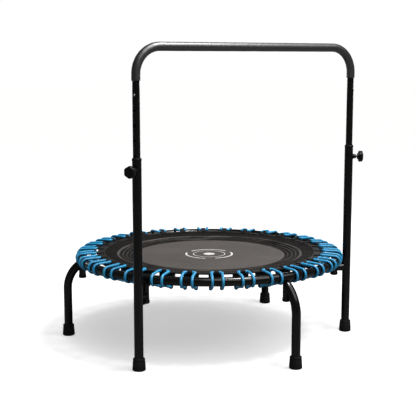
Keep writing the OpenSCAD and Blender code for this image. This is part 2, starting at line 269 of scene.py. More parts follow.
def round_section(radius, sides):
    """A round section, whose radius may be a list with one value for each point of the line."""
    x, y = circle(1.0, sides)

    def section(i):
        r = radius[i] if hasattr(radius, "__len__") else radius
        return r * x, r * y

    return section


def strap_section(width, thickness):
    """A flat strap's section with softened edges."""
    w, t = width / 2, thickness / 2
    soft = t * 0.6
    a = np.array([-w + soft, 0, w - soft, w, w, w - soft, 0, -w + soft, -w, -w])
    b = np.array([-t, -t, -t, -t + soft, t - soft, t, t, t, t - soft, -t + soft])
    return lambda i: (b, a)


STITCH_PROFILE = [(-1.0, 0.25), (-0.7, 0.8), (-0.2, 1.0), (0.2, 1.0), (0.7, 0.8), (1.0, 0.25)]


def stitch(solid, centre, heading, length, radius):
    """One raised stitch of thread lying at centre along heading."""
    heading = np.asarray(heading, float)
    heading /= np.linalg.norm(heading)
    line = [np.asarray(centre) + heading * length / 2 * s for s, _ in STITCH_PROFILE]
    radii = [radius * r for _, r in STITCH_PROFILE]
    solid.add(sweep(line, round_section(radii, 6), (0, 0, 1)))


def stitch_circle(solid, radius, z, count, length, thread):
    """A circle of stitches about the middle of the mat."""
    for k in range(count):
        a = 2 * math.pi * (k + 0.5) / count
        centre = (radius * math.cos(a), radius * math.sin(a), z)
        stitch(solid, centre, (-math.sin(a), math.cos(a), 0), length, thread)


# ---------------------------------------------------------------- material helpers


class Shader:
    """One material with a Principled shader, and short ways to add nodes to it."""

    def __init__(self, name, **sockets):
        self.material = bpy.data.materials.new(name)
        self.material.use_nodes = True
        self.tree = self.material.node_tree
        self.tree.nodes.clear()
        output = self.tree.nodes.new("ShaderNodeOutputMaterial")
        self.shader = self.tree.nodes.new("ShaderNodeBsdfPrincipled")
        self.tree.links.new(self.shader.outputs["BSDF"], output.inputs["Surface"])
        for key, value in sockets.items():
            self.set(key.replace("_", " "), value)

    def set(self, socket, value):
        self.plug(value, self.shader.inputs[socket])

    def plug(self, value, socket):
        if isinstance(value, bpy.types.NodeSocket):
            self.tree.links.new(value, socket)
        else:
            socket.default_value = value

    def node(self, kind, inputs, output=0, **settings):
        made = self.tree.nodes.new(kind)
        for key, value in settings.items():
            setattr(made, key, value)
        for key, value in inputs.items():
            self.plug(value, made.inputs[key])
        return made.outputs[output]

    def place(self):
        return self.node("ShaderNodeTexCoord", {}, output="Object")

    def along(self):
        return self.node("ShaderNodeUVMap", {}, uv_map="Along")

    def noise(self, scale, detail=3.0, rough=0.5, vector=None):
        where = self.place() if vector is None else vector
        inputs = {"Vector": where, "Scale": scale, "Detail": detail, "Roughness": rough}
        return self.node("ShaderNodeTexNoise", inputs)

    def math(self, operation, a, b=0.0):
        return self.node("ShaderNodeMath", {0: a, 1: b}, operation=operation)

    def between(self, factor, low, high, lowest=0.3, highest=0.7):
        """A number or a colour that goes from low to high as the factor goes from lowest to highest."""
        if isinstance(low, tuple):
            made = self.tree.nodes.new("ShaderNodeValToRGB")
            self.plug(factor, made.inputs[0])
            made.color_ramp.elements[0].position = lowest
            made.color_ramp.elements[1].position = highest
            made.color_ramp.elements[0].color = (*low, 1)
            made.color_ramp.elements[1].color = (*high, 1)
            return made.outputs["Color"]
        inputs = {"Value": factor, 1: lowest, 2: highest, 3: low, 4: high}
        return self.node("ShaderNodeMapRange", inputs)

    def mix(self, factor, low, high):
        made = self.tree.nodes.new("ShaderNodeMix")
        made.data_type = "RGBA"
        self.plug(factor, made.inputs[0])
        for index, value in ((6, low), (7, high)):
            colour = (*value, 1) if isinstance(value, tuple) else value
            self.plug(colour, made.inputs[index])
        return made.outputs[2]

    def bump(self, height, distance, strength=1.0, under=None):
        inputs = {"Height": height, "Distance": distance, "Strength": strength}
        if under is not None:
            inputs["Normal"] = under
        return self.node("ShaderNodeBump", inputs)


# ---------------------------------------------------------------- materials


def painted_tube():
    """Black powder coat: fine orange peel, and slow changes of tone and gloss."""
    s = Shader("painted_tube", Specular_IOR_Level=0.36)
    slow = s.noise(14, 4, 0.6)
    s.set("Base Color", s.between(slow, (0.0030, 0.0026, 0.0024), (0.0058, 0.0051, 0.0047)))
    s.set("Roughness", s.between(s.noise(60, 4, 0.65), 0.11, 0.19))
    peel = s.bump(s.noise(1100, 2), 0.00004, 0.5)
    s.set("Normal", s.bump(slow, 0.0003, 0.3, peel))
    return s.material


def steel(name, colour, rough_low, rough_high, grain):
    """Plated steel with fine marks, duller where it is worn."""
    s = Shader(name, Metallic=1.0)
    marks = s.noise(grain, 3, 0.6)
    worn = tuple(c * 0.72 for c in colour)
    s.set("Base Color", s.between(marks, worn, colour))
    s.set("Roughness", s.between(marks, rough_low, rough_high))
    s.set("Normal", s.bump(marks, 0.00003, 0.5))
    return s.material


def bright_steel():
    return steel("bright_steel", (0.74, 0.74, 0.76), 0.16, 0.3, 700)


def zinc_steel():
    return steel("zinc_steel", (0.55, 0.56, 0.56), 0.3, 0.48, 400)


def moulded(name, low, high, rough_low, rough_high, grain, depth, specular):
    """Moulded plastic or rubber: fine grain, slow changes of colour and gloss."""
    s = Shader(name, Specular_IOR_Level=specular)
    slow = s.noise(30, 4, 0.6)
    s.set("Base Color", s.between(slow, low, high))
    s.set("Roughness", s.between(slow, rough_low, rough_high))
    s.set("Normal", s.bump(s.noise(grain, 3, 0.6), depth, 0.6))
    return s.material


def black_plastic():
    return moulded("black_plastic", (0.004,) * 3, (0.008,) * 3, 0.36, 0.5, 1600, 0.00005, 0.2)


def knob_plastic():
    return moulded("knob_plastic", (0.004,) * 3, (0.009,) * 3, 0.3, 0.42, 1400, 0.00006, 0.2)


def foot_rubber():
    return moulded("foot_rubber", (0.005,) * 3, (0.010,) * 3, 0.5, 0.66, 900, 0.0001, 0.2)


def foam():
    """Closed-cell foam: a soft skin with fine pores and faint creases."""
    s = Shader("foam", Specular_IOR_Level=1.0, IOR=1.7)
    pores = s.node("ShaderNodeTexVoronoi", {"Vector": s.place(), "Scale": 900.0}, output="Distance")
    slow = s.noise(22, 4, 0.6)
    s.set("Base Color", s.between(slow, (0.005, 0.0043, 0.0043), (0.010, 0.0085, 0.0085)))
    s.set("Roughness", s.between(s.noise(260, 3), 0.36, 0.47))
    fine = s.bump(pores, 0.00012, 0.5)
    s.set("Normal", s.bump(s.noise(45, 3), 0.0008, 0.3, fine))
    return s.material


def weave(s, pitch):
    """Height of a plain weave in the mat's plane, where two sets of yarns cross by turns."""
    where = s.place()
    x = s.node("ShaderNodeSeparateXYZ", {0: where}, output="X")
    y = s.node("ShaderNodeSeparateXYZ", {0: where}, output="Y")
    across = s.math("ABSOLUTE", s.math("SINE", s.math("MULTIPLY", x, math.pi / pitch)))
    along = s.math("ABSOLUTE", s.math("SINE", s.math("MULTIPLY", y, math.pi / pitch)))
    inputs = {"Vector": where, "Scale": 1 / pitch}
    over = s.node("ShaderNodeTexChecker", inputs, output="Fac")
    return s.node("ShaderNodeMix", {0: over, 2: across, 3: along}, data_type="FLOAT")


def painted_fold_sheen(s):
    """Painted sheen: how strongly the folds that run round outside the panel are painted lighter, as if
    they caught the light.
    """
    spread = s.node("ShaderNodeVectorMath", {0: s.place(), 1: (1, 1, 0)}, operation="MULTIPLY")
    radius = s.node("ShaderNodeVectorMath", {0: spread}, output="Value", operation="LENGTH")
    sway, outer_r, outer_w, pitch = 24 * MM, 353 * MM, 6 * MM, 15 * MM
    wander = s.math("MULTIPLY", s.math("SUBTRACT", s.noise(4, 3), 0.5), sway)
    radius = s.math("ADD", radius, wander)
    off = s.math("ABSOLUTE", s.math("SUBTRACT", radius, outer_r))
    outer = s.between(off, 1.0, 0.0, 0.0, outer_w)
    phase = s.math("MULTIPLY", radius, 2 * math.pi / pitch)
    inner = s.math("POWER", s.between(s.math("SINE", phase), 0.0, 1.0, -0.2, 1.0), 2.0)
    rise = s.between(radius, 0.0, 0.5, PANEL_R, PANEL_R + 20 * MM)
    fall = s.between(radius, 1.0, 0.0, outer_r - 8 * MM, outer_r + 3 * MM)
    band = s.math("MULTIPLY", rise, fall)
    both = s.math("MAXIMUM", outer, s.math("MULTIPLY", inner, band))
    return s.math("MULTIPLY", both, s.between(s.noise(9, 4), 0.35, 1.0, 0.35, 0.6))


def woven(name, low, high, gap_shade_factor, rough_low, rough_high, specular, sheen, painted_sheen_colour=None):
    """A cloth of flat woven yarns, with slubs, slow changes of tone, painted shade where the yarns dip,
    and painted sheen on its folds when a sheen colour is given.
    """
    s = Shader(name, Specular_IOR_Level=specular, Sheen_Weight=sheen, Sheen_Roughness=0.5)
    height = weave(s, WEAVE_PITCH)
    slow = s.noise(7, 5, 0.6)
    tone = s.between(slow, low, high)
    # Painted shade: a darker copy of the colour, for where the yarns dip between crossings.
    painted_gap_shade = tuple(c * gap_shade_factor for c in low)
    rough = s.between(s.noise(120, 3), rough_low, rough_high)
    # Painted sheen: the folds get a lighter colour, as if lit; the lower roughness there is real gloss.
    if painted_sheen_colour:
        painted_sheen_and_gloss = s.math("MULTIPLY", painted_fold_sheen(s), 0.9)
        tone = s.mix(painted_sheen_and_gloss, tone, painted_sheen_colour)
        rough = s.math("SUBTRACT", rough, s.math("MULTIPLY", painted_sheen_and_gloss, 0.35))
    # Painted shade: where the weave's height is low, the colour goes to the darker copy.
    s.set("Base Color", s.mix(s.between(height, 0.65, 0.0, 0.0, 0.55), tone, painted_gap_shade))
    s.set("Roughness", rough)
    yarns = s.bump(height, 0.0003, 0.5)
    s.set("Normal", s.bump(s.noise(40, 4), 0.0006, 0.25, yarns))
    return s.material


def woven_mat():
    # The third colour is the painted sheen for the folds.
    dark, pale, painted_sheen_colour = (0.007, 0.0060, 0.0056), (0.014, 0.0122, 0.0113), (0.170, 0.157, 0.148)
    return woven("woven_mat", dark, pale, 0.45, 0.72, 0.84, 0.08, 0.0, painted_sheen_colour)


def grey_panel():
    dark, pale = (0.090, 0.081, 0.075), (0.112, 0.101, 0.094)
    return woven("grey_panel", dark, pale, 0.8, 0.6, 0.78, 0.1, 0.0)


def webbing():
    """Black polyester tape with a fine pebbled weave."""
    s = Shader("webbing", Specular_IOR_Level=0.15, Sheen_Weight=0.05, Sheen_Roughness=0.5)
    pebbles = s.node("ShaderNodeTexVoronoi", {"Vector": s.place(), "Scale": 620.0}, output="Distance")
    slow = s.noise(18, 4, 0.6)
    s.set("Base Color", s.between(slow, (0.006, 0.0055, 0.0055), (0.013, 0.012, 0.012)))
    s.set("Roughness", s.between(slow, 0.6, 0.75))
    s.set("Normal", s.bump(pebbles, 0.0003, 0.5))
    return s.material


def elastic_cord():
    """A braided sleeve: crossing spirals of yarn round the cord, with painted highlight on their crowns
    and painted shade in the grooves between them.
    """
    s = Shader("elastic_cord", Specular_IOR_Level=0.7)
    where = s.along()
    u = s.node("ShaderNodeSeparateXYZ", {0: where}, output="X")
    v = s.node("ShaderNodeSeparateXYZ", {0: where}, output="Y")
    turns = s.math("MULTIPLY", u, 2 * math.pi * BRAID_YARNS)
    rise = s.math("MULTIPLY", v, 2 * math.pi / BRAID_PITCH)
    one = s.math("SINE", s.math("ADD", turns, rise))
    two = s.math("SINE", s.math("SUBTRACT", turns, rise))
    braid = s.between(s.math("MULTIPLY", one, two), 0.0, 1.0, -1.0, 1.0)
    # Painted highlight and shade: the crowns of the yarns get the light colour, the grooves between
    # them the deep one.
    deep, light = (0.006, 0.11, 0.27), (0.034, 0.47, 0.86)
    colour = s.between(braid, deep, light, 0.05, 0.65)
    worn = s.noise(35, 4, 0.6)
    s.set("Base Color", s.mix(s.between(worn, 0.0, 0.35, 0.45, 0.8), colour, (0.014, 0.20, 0.44)))
    s.set("Roughness", s.between(braid, 0.46, 0.3, 0.0, 1.0))
    s.set("Normal", s.bump(braid, 0.0005, 0.6))
    return s.material


def thread(name, low, high):
    """Sewing thread, uneven along its length."""
    s = Shader(name, Specular_IOR_Level=0.3, Sheen_Weight=0.2)
    twist = s.noise(900, 2)
    s.set("Base Color", s.between(twist, low, high))
    s.set("Roughness", s.between(twist, 0.5, 0.7))
    s.set("Normal", s.bump(twist, 0.0001, 0.4))
    return s.material


def print_white():
    """White screen print, a little worn through to the cloth."""
    s = Shader("print_white", Specular_IOR_Level=0.3)
    wear = s.noise(160, 5, 0.7)
    s.set("Base Color", s.between(wear, (0.52, 0.51, 0.49), (0.80, 0.79, 0.77), 0.3, 0.5))
    s.set("Roughness", s.between(wear, 0.7, 0.55))
    s.set("Normal", s.bump(wear, 0.0001, 0.4))
    return s.material


FINISHES = [
    painted_tube,
    bright_steel,
    zinc_steel,
    black_plastic,
    knob_plastic,
    foot_rubber,
    foam,
    woven_mat,
    grey_panel,
    webbing,
    elastic_cord,
]
MATERIALS = {make.__name__: make() for make in FINISHES}
BLACK_THREAD = thread("black_thread", (0.010,) * 3, (0.026,) * 3)
GREY_THREAD = thread("grey_thread", (0.050, 0.046, 0.043), (0.085, 0.078, 0.073))
PRINT = print_white()

# ---------------------------------------------------------------- stage, light and camera


def camera():
    """A long lens in front to the left, at about the handlebar's height."""
    data = bpy.data.cameras.new("camera")
    data.lens = 86.29
    data.sensor_width = 36
    data.shift_y = 0.0288
    made = bpy.data.objects.new("camera", data)
    bpy.context.collection.objects.link(made)
    made.location = (-2.0989, -3.1934, 1.0698)
    made.rotation_euler = (math.radians(90 - 9.2), 0, math.radians(-33.25))
    bpy.context.scene.camera = made


def light(kind, name, towards, **settings):
    """A light that shines from a direction, given as a vector from the object."""
    data = bpy.data.lights.new(name, kind)
    for key, value in settings.items():
        setattr(data, key, value)
    made = bpy.data.objects.new(name, data)
    bpy.context.collection.objects.link(made)
    made.location = towards
    made.rotation_euler = (-Vector(towards)).to_track_quat("-Z", "Y").to_euler()
    made.visible_camera = False


# How bright the world is as a light, and as the pale backdrop that the camera sees
WORLD_LIGHT = 0.09
WORLD_SEEN = 1.02


def studio():
    """An overhead sun, a softbox, two rim lights behind, and a pale world."""
    light("SUN", "overhead", (0.20, -0.55, 1.0), energy=2.2, angle=math.radians(60))
    box = {"shape": "RECTANGLE", "size": 0.5, "size_y": 0.5}
    light("AREA", "softbox", (0.35, -0.7, 2.6), energy=42, **box)
    rim = {"shape": "RECTANGLE", "size": 1.6, "size_y": 0.5}
    light("AREA", "back_right", (2.6, 1.7, 1.1), energy=10, **rim)
    light("AREA", "back_left", (-0.5, 3.1, 1.1), energy=6.5, **rim)

    world = bpy.data.worlds.new("world")
    world.use_nodes = True
    bpy.context.scene.world = world
    tree = world.node_tree
    tree.nodes.clear()
    output = tree.nodes.new("ShaderNodeOutputWorld")
    mix = tree.nodes.new("ShaderNodeMixShader")
    seen = tree.nodes.new("ShaderNodeLightPath")
    for index, strength in enumerate((WORLD_LIGHT, WORLD_SEEN)):
        background = tree.nodes.new("ShaderNodeBackground")
        background.inputs["Color"].default_value = (1, 1, 1, 1)
        background.inputs["Strength"].default_value = strength
        tree.links.new(background.outputs[0], mix.inputs[index + 1])
    tree.links.new(seen.outputs["Is Camera Ray"], mix.inputs[0])
    tree.links.new(mix.outputs[0], output.inputs["Surface"])


def floor():
    """A pale floor, which throws less light on the object than the camera sees in it."""
    s = Shader("floor", Roughness=0.9, Specular_IOR_Level=0.0)
    seen = s.node("ShaderNodeLightPath", {}, output="Is Camera Ray")
    s.set("Base Color", s.mix(seen, (0.20, 0.20, 0.20), (0.72, 0.715, 0.71)))
    s.set("Emission Color", (1, 1, 1, 1))
    s.set("Emission Strength", s.math("MULTIPLY", seen, 0.5))
    reach = 40
    mesh = bpy.data.meshes.new("floor")
    corners = [(-reach, -reach, 0), (reach, -reach, 0), (reach, reach, 0), (-reach, reach, 0)]
    mesh.from_pydata(corners, [], [(0, 1, 2, 3)])
    mesh.materials.append(s.material)
    made = bpy.data.objects.new("floor", mesh)
    bpy.context.collection.objects.link(made)


bpy.context.scene.view_settings.view_transform = "Standard"
camera()
studio()
floor()

# ---------------------------------------------------------------- cords


def strand(half_gap, lean):
    """One strand from its anchor under the ring, round it and over it to its bend at the bight."""
    side = math.copysign(1, half_gap)
    outward, up = (1, 0, 0), (0, 0, 1)
    centre = np.array([RING_R, half_gap + lean, RING_Z])
    wrap = arc(centre, outward, up, WRAP_R, WRAP_END, 90, 27)
    leave = wrap[0]
    run_in = leave[0] - (ANCHOR_X + 0.3 * MM)
    start = leave + np.array([-run_in, -lean, -run_in / math.tan(math.radians(WRAP_END))])
    pull = np.linspace(0, 1, 6)[:-1, None]
    lower = start + (leave - start) * pull
    corner = (LOOP_X + BIGHT_BEND_R, half_gap - side * BIGHT_BEND_R, STRAND_Z)
    bight = arc(corner, (0, side, 0), (-1, 0, 0), BIGHT_BEND_R, 0, 90, 7)
    over = wrap[-1] + (bight[0] - wrap[-1]) * np.linspace(0, 1, 6)[1:-1, None]
    return np.concatenate([lower, wrap, over, bight])


def cord_section(line):
    """A round cord, pressed a little flatter where it bears on the ring."""
    from_ring = np.hypot(line[:, 0] - RING_R, line[:, 2] - RING_Z)
    sides, recover = 14, 4 * MM
    free = np.clip((from_ring - WRAP_R) / recover, 0, 1)
    deep = CORD_FLAT + (CORD_R - CORD_FLAT) * free
    x, y = circle(1.0, sides)
    return lambda i: (CORD_R * x, deep[i] * y)


def cord_line():
    """One whole cord: a strand in, the bight through its tab, and the other strand back."""
    gap = STRAND_HALF_GAP + RANDOM.uniform(-0.8, 0.8) * MM
    first = strand(gap, RANDOM.uniform(-0.9, 0.9) * MM)
    second = strand(-gap, RANDOM.uniform(-0.9, 0.9) * MM)
    across = (second[-1] - first[-1]) * np.linspace(0, 1, 5)[1:-1, None]
    return np.concatenate([first, first[-1] + across, second[::-1]])


def loop_angle(bay, number):
    """The angle of one cord loop: bays and loops are counted from the rear right station."""
    return FIRST_BAY + BAY_STEP * bay + LOOP_STEP * (number + 0.5)


def each_loop():
    """The angles of all the cord loops."""
    return [loop_angle(bay, number) for bay in range(BAYS) for number in range(LOOPS_PER_BAY)]


def cords():
    """Every cord is a piece of its own, which runs between the ring and the mat."""
    for bay in range(BAYS):
        for number in range(LOOPS_PER_BAY):
            place = round_station(loop_angle(bay, number))
            line = cord_line()
            rings = sweep(line, cord_section(line), (0, 1, 0))
            solid = Solid().add(rings, place, lengths=travel(line))
            name = f"elastic_cord_{bay + 1}_{number + 1}"
            made = piece(name, solid, MATERIALS["elastic_cord"], None)
            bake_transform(made)
            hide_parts(f"cords_bay_{bay + 1}")


cords()

# ---------------------------------------------------------------- mat


def bed_height(radius):
    """Height of the top of the stretched mat: flat in the middle, then rising to the hem."""
    knots = [0, PANEL_R, PANEL_R + 8 * MM, RISE_R, HEM_INNER_R, BED_R]
    heights = [MAT_Z, MAT_Z, MAT_Z + 0.7 * MM, RISE_Z, EDGE_Z, EDGE_Z]
    return np.interp(radius, knots, heights)


def window(value, start, end, soft):
    """1 between start and end, falling to 0 over soft at both."""
    rise = np.clip((value - start) / soft, 0, 1)
    fall = np.clip((end - value) / soft, 0, 1)
    return rise * rise * (3 - 2 * rise) * fall * fall * (3 - 2 * fall)


def wrinkles(radius, angle):
    """Folds that run round the band outside the panel, and the faint pull of each cord."""
    band = window(radius, PANEL_R + 3 * MM, RISE_R + 4 * MM, 14 * MM)
    wander = 1.1 * np.sin(3 * angle + 0.7) + 0.7 * np.sin(7 * angle + 2.1) + 0.4 * np.sin(16 * angle)
    folds = np.sin(2 * np.pi * (radius - PANEL_R) / (19 * MM) + wander)
    patch = 0.55 + 0.3 * np.sin(5 * angle + 1.3) + 0.15 * np.sin(11 * angle + 0.4)
    fine = 0.3 * np.sin(2 * np.pi * radius / (8 * MM) + 2 * np.sin(9 * angle + 1))
    pull = window(radius, RISE_R + 6 * MM, HEM_INNER_R, 12 * MM)
    tugs = np.cos(LOOPS * (angle - FIRST_LOOP))
    return band * (folds + fine) * patch * 1.5 * MM + pull * tugs * 0.5 * MM


def dish(radii, sides, top, thickness):
    """A closed sheet of rings about Z, whose top is a function of radius and angle."""
    angle = np.arange(sides) * 2 * np.pi / sides
    over, under = [], []
    for r in radii:
        z = top(r, angle)
        over.append(np.stack([r * np.cos(angle), r * np.sin(angle), z], 1))
        under.append(np.stack([r * np.cos(angle), r * np.sin(angle), z - thickness], 1))
    return np.array(over + under[::-1])


def mat_bed():
    """The stretched black mat, with its rings of points closest where it is folded."""
    inner = np.linspace(0, PANEL_R - 6 * MM, 9)
    band = np.linspace(PANEL_R - 2 * MM, RISE_R + 8 * MM, 56)
    outer = np.linspace(RISE_R + 12 * MM, BED_R, 12)
    radii = np.concatenate([inner, band, outer])

    def top(r, angle):
        return bed_height(r) + wrinkles(np.full_like(angle, r), angle)

    solid = Solid().add(dish(radii, MAT_SIDES, top, BED_T), capped=False)
    made = piece("woven_mat_bed", solid, MATERIALS["woven_mat"], "mat")
    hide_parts("mat_bed")
    return made


def mat_panel():
    """The grey panel laid on the bed, with a soft edge."""
    thick = PANEL_HIGH.z - PANEL_LOW.z
    radii = np.concatenate([np.linspace(0, PANEL_R - 1.2 * MM, 26), [PANEL_R - 0.4 * MM, PANEL_R]])
    drop = {len(radii) - 1: thick * 0.7, len(radii) - 2: thick * 0.2}

    def top(r, angle):
        fall = drop.get(int(np.argmin(np.abs(radii - r))), 0.0)
        sway = 0.18 * MM * np.sin(2 * angle + 0.8) * min(1.0, r / PANEL_R)
        return PANEL_HIGH.z - 0.2 * MM + sway - fall

    angle = np.arange(MAT_SIDES) * 2 * np.pi / MAT_SIDES
    over = [np.stack([r * np.cos(angle), r * np.sin(angle), top(r, angle)], 1) for r in radii]
    base = np.full(MAT_SIDES, PANEL_LOW.z + 0.05 * MM)
    under = [np.stack([r * np.cos(angle), r * np.sin(angle), base], 1) for r in (PANEL_R, 0.0)]
    solid = Solid().add(np.array(over + under), capped=False)
    made = piece("grey_centre_panel", solid, MATERIALS["grey_panel"], "mat")
    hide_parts("mat_panel")
    return made


def mat_hem():
    """Webbing folded over the edge of the bed, drawn out a little at each tab."""
    low, high = HEM_LOW.z, HEM_HIGH.z
    inner, outer, slot = HEM_INNER_R, MAT_R, BED_R + 0.1 * MM
    section = [(inner, high - 0.3 * MM), (inner + 0.6 * MM, high), (inner + 14 * MM, high)]
    section += [(outer - 6 * MM, high)]
    section += fillet(outer - 2.4 * MM, high - 2.4 * MM, 2.4 * MM, 90, 0)
    section += fillet(outer - 2.4 * MM, low + 2.4 * MM, 2.4 * MM, 0, -90)
    section += [(inner + 0.6 * MM, low), (inner, low + 0.3 * MM)]
    section += [(inner, EDGE_Z - BED_T - 0.05 * MM), (slot, EDGE_Z - BED_T - 0.05 * MM)]
    section += [(slot, EDGE_Z + 0.05 * MM), (inner, EDGE_Z + 0.05 * MM)]
    rings = lathe(section, HEM_SIDES)
    angle = np.arange(HEM_SIDES) * 2 * np.pi / HEM_SIDES
    tug = 0.5 - 0.5 * np.cos(LOOPS * (angle - FIRST_LOOP) + math.pi)
    for ring in rings:
        share = np.clip((np.hypot(ring[:, 0], ring[:, 1]) - inner) / (outer - inner), 0, 1) ** 2
        ring[:, :2] *= (1 - share * (1 - tug) * 1.1 * MM / outer)[:, None]
    solid = Solid().add(rings, looped=True)
    made = piece("webbing_hem", solid, MATERIALS["webbing"], "mat")
    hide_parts("mat_hem")
    return made


def hem_stitching():
    """Two circles of black stitches along the hem."""
    solid = Solid()
    z = HEM_HIGH.z + 0.15 * MM
    for radius in (HEM_INNER_R + 4 * MM, MAT_R - 5 * MM):
        stitch_circle(solid, radius, z, count=260, length=7 * MM, thread=0.45 * MM)
    return piece("hem_stitching", solid, BLACK_THREAD, "mat")


def panel_stitching():
    """One circle of grey stitches inside the panel's edge."""
    solid = Solid()
    radius, z = PANEL_R - 5 * MM, PANEL_HIGH.z
    stitch_circle(solid, radius, z, count=200, length=6.4 * MM, thread=0.4 * MM)
    return piece("panel_stitching", solid, GREY_THREAD, "mat")


def panel_mark():
    """A plain printed mark: three arcs round a thin ring and a disc."""
    solid = Solid()
    z = PANEL_HIGH.z + 0.05 * MM

    def patch(inner, outer, start, end, steps):
        turn = np.radians(np.linspace(start, end, steps))
        rings = []
        for a in turn:
            out = np.array([math.cos(a), math.sin(a), 0])
            corners = [(inner, 0), (outer, 0), (outer, 0.25 * MM), (inner, 0.25 * MM)]
            rings.append([out * r + np.array([0, 0, z + h]) for r, h in corners])
        return np.array(rings)

    for k in range(3):
        solid.add(patch(86 * MM, 93 * MM, 120 * k + 12, 120 * k + 108, 40))
    solid.add(patch(60 * MM, 63 * MM, 0, 357, 120), looped=True)
    solid.add(patch(0.5 * MM, 22 * MM, 0, 350, 36), looped=True)
    return piece("printed_mark", solid, PRINT, "mat")


def tab_line():
    """The line of one webbing tab: out over the hem, round the cord's bight and back on itself."""
    wall = CORD_R + 0.3 * MM + 0.9 * MM
    lower_z, upper_z = HEM_HIGH.z + 0.9 * MM, HEM_HIGH.z + 2.7 * MM
    flat_in, flat_out = MAT_R - 25 * MM, MAT_R - 2 * MM
    lower = [(flat_in, 0, lower_z), (flat_in + 8 * MM, 0, lower_z), (flat_out, 0, lower_z)]
    loop = arc((LOOP_X, 0, STRAND_Z), (1, 0, 0), (0, 0, 1), wall, -155, 150, 22)
    upper = [(flat_out, 0, upper_z), (flat_in + 8 * MM, 0, upper_z), (flat_in + 1 * MM, 0, upper_z)]
    return np.concatenate([lower, loop, upper])


def cord_tabs():
    """A webbing tab over each cord's bight, sewn down with two rows of stitches."""
    solid, seams = Solid(), Solid()
    line = tab_line()
    for angle in each_loop():
        place = round_station(angle)
        solid.add(sweep(line, strap_section(TAB_W, TAB_T), (0, 0, 1)), place)
        for x in (MAT_R - 21 * MM, MAT_R - 7 * MM):
            for y in (-6, -2, 2, 6):
                centre = place @ Vector((x, y * MM, HEM_HIGH.z + 3.5 * MM))
                heading = place.to_3x3() @ Vector((0, 1, 0))
                stitch(seams, centre, heading, 3.2 * MM, 0.4 * MM)
    made = piece("webbing_tabs", solid, MATERIALS["webbing"], "mat")
    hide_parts("cord_tabs")
    return [made, piece("tab_stitching", seams, BLACK_THREAD, "mat")]


def anchor_body():
    """Outline of a moulded anchor seen from its side, and its rings from end to end."""
    top, low = HEM_LOW.z, HEM_LOW.z - ANCHOR_DEPTH
    outline = [
        (-28, top), (-20, top), (-1, top), (0, top - 1 * MM), (0, low + 5 * MM),
        (-1.5, low + 1.5 * MM), (-5, low), (-19, low), (-25, low + 6 * MM), (-28, low + 11 * MM),
    ]
    flat = np.array([(ANCHOR_X + x * MM, z) for x, z in outline])
    centre = flat.mean(0)
    rings = []
    ends = [(-26, 0.86), (-25.6, 0.94), (-24.6, 0.985), (-23, 1.0)]
    for y, share in ends + [(-y, share) for y, share in reversed(ends)]:
        ring = centre + (flat - centre) * share
        rings.append(np.stack([ring[:, 0], np.full(len(ring), y * MM), ring[:, 1]], 1))
    return np.array(rings)


def cord_anchors():
    """Moulded anchors under the hem, each with a collar round both ends of its cord."""
    solid = Solid()
    body = anchor_body()
    leave_x = RING_R + WRAP_R * math.cos(math.radians(WRAP_END))
    leave_z = RING_Z + WRAP_R * math.sin(math.radians(WRAP_END))
    run_in = leave_x - ANCHOR_X
    end_z = leave_z - run_in / math.tan(math.radians(WRAP_END))
    tilt = Matrix.Rotation(math.radians(90 - (WRAP_END + 90)), 4, "Y")
    collar = [(6.9, -6), (6.9, 2.0), (6.4, 2.8), (5.5, 3.0), (5.15, 2.6), (5.15, -6)]
    collar = [(r * MM, h * MM) for r, h in collar]
    for angle in each_loop():
        place = round_station(angle)
        solid.add(body, place)
        for y in (-STRAND_HALF_GAP, STRAND_HALF_GAP):
            there = place @ Matrix.Translation((ANCHOR_X, y, end_z)) @ tilt
            solid.add(lathe(collar, 24), there, looped=True)
        for y in (-8, 0, 8):
            rib = [(-3, -0.8), (0.9, -0.6), (0.9, 0.6), (-3, 0.8)]
            low, high = HEM_LOW.z - 17 * MM, HEM_LOW.z - 2 * MM
            rings = [[(ANCHOR_X + a * MM, (y + b) * MM, z) for a, b in rib] for z in (low, high)]
            solid.add(rings, place)
    made = piece("cord_anchor_blocks", solid, MATERIALS["black_plastic"], "mat")
    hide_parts("cord_anchors")
    return made


bed = mat_bed()
panel = mat_panel()
trim = [mat_hem(), hem_stitching(), *cord_tabs()]
marks = [panel_stitching(), panel_mark()]
cord_anchors()

# ---------------------------------------------------------------- handlebar


def bar_line(low_z):
    """The middle line of the handlebar: up the left side, round two bends and down the right."""
    x, z = POST_X - BAR_BEND_R, BAR_Z - BAR_BEND_R
    inward, up = (1, 0, 0), (0, 0, 1)
    rise = np.linspace(low_z, z, 5)[:-1]
    left = [(-POST_X, POST_Y, h) for h in rise]
    first = arc((-x, POST_Y, z), inward, up, BAR_BEND_R, 180, 90, 25)
    across = [(s, POST_Y, BAR_Z) for s in np.linspace(-x, x, 32)[1:-1]]
    second = arc((x, POST_Y, z), inward, up, BAR_BEND_R, 90, 0, 25)
    right = [(POST_X, POST_Y, h) for h in rise[::-1]]
    return np.concatenate([left, first, across, second, right])


def foam_grip():
    """A foam sleeve with rounded ends, over the bar and round both its bends."""
    line = bar_line(GRIP_LOW.z)
    lead = [0.3, 0.9, 2.0]
    heads = [line[0] + np.array([0, 0, h * MM]) for h in lead]
    tails = [line[-1] + np.array([0, 0, h * MM]) for h in lead]
    line = np.concatenate([line[:1], heads, line[1:-1], tails[::-1], line[-1:]])
    count = len(line)
    bore = BAR_R + 0.15 * MM
    radii = np.full(count, GRIP_R) + 0.12 * MM * (np.sin(np.arange(count) * 1.7) - 1)
    for k, drop in enumerate((1.5, 0.7, 0.25, 0.0)):
        radii[k] = radii[count - 1 - k] = GRIP_R - drop * MM
    outer = sweep(line, round_section(list(radii), 40), (0, 1, 0))
    inner = sweep(line, round_section(bore, 40), (0, 1, 0))
    solid = Solid().add(np.concatenate([outer, inner[::-1]]), looped=True)
    made = piece("foam_sleeve", solid, MATERIALS["foam"], "handlebar")
    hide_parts("foam_grip")
    return made


def hexagon(radius):
    """The radius of a hexagon's outline, as a function of the angle."""
    return lambda angle: radius / np.cos((angle + math.pi / 6) % (math.pi / 3) - math.pi / 6)


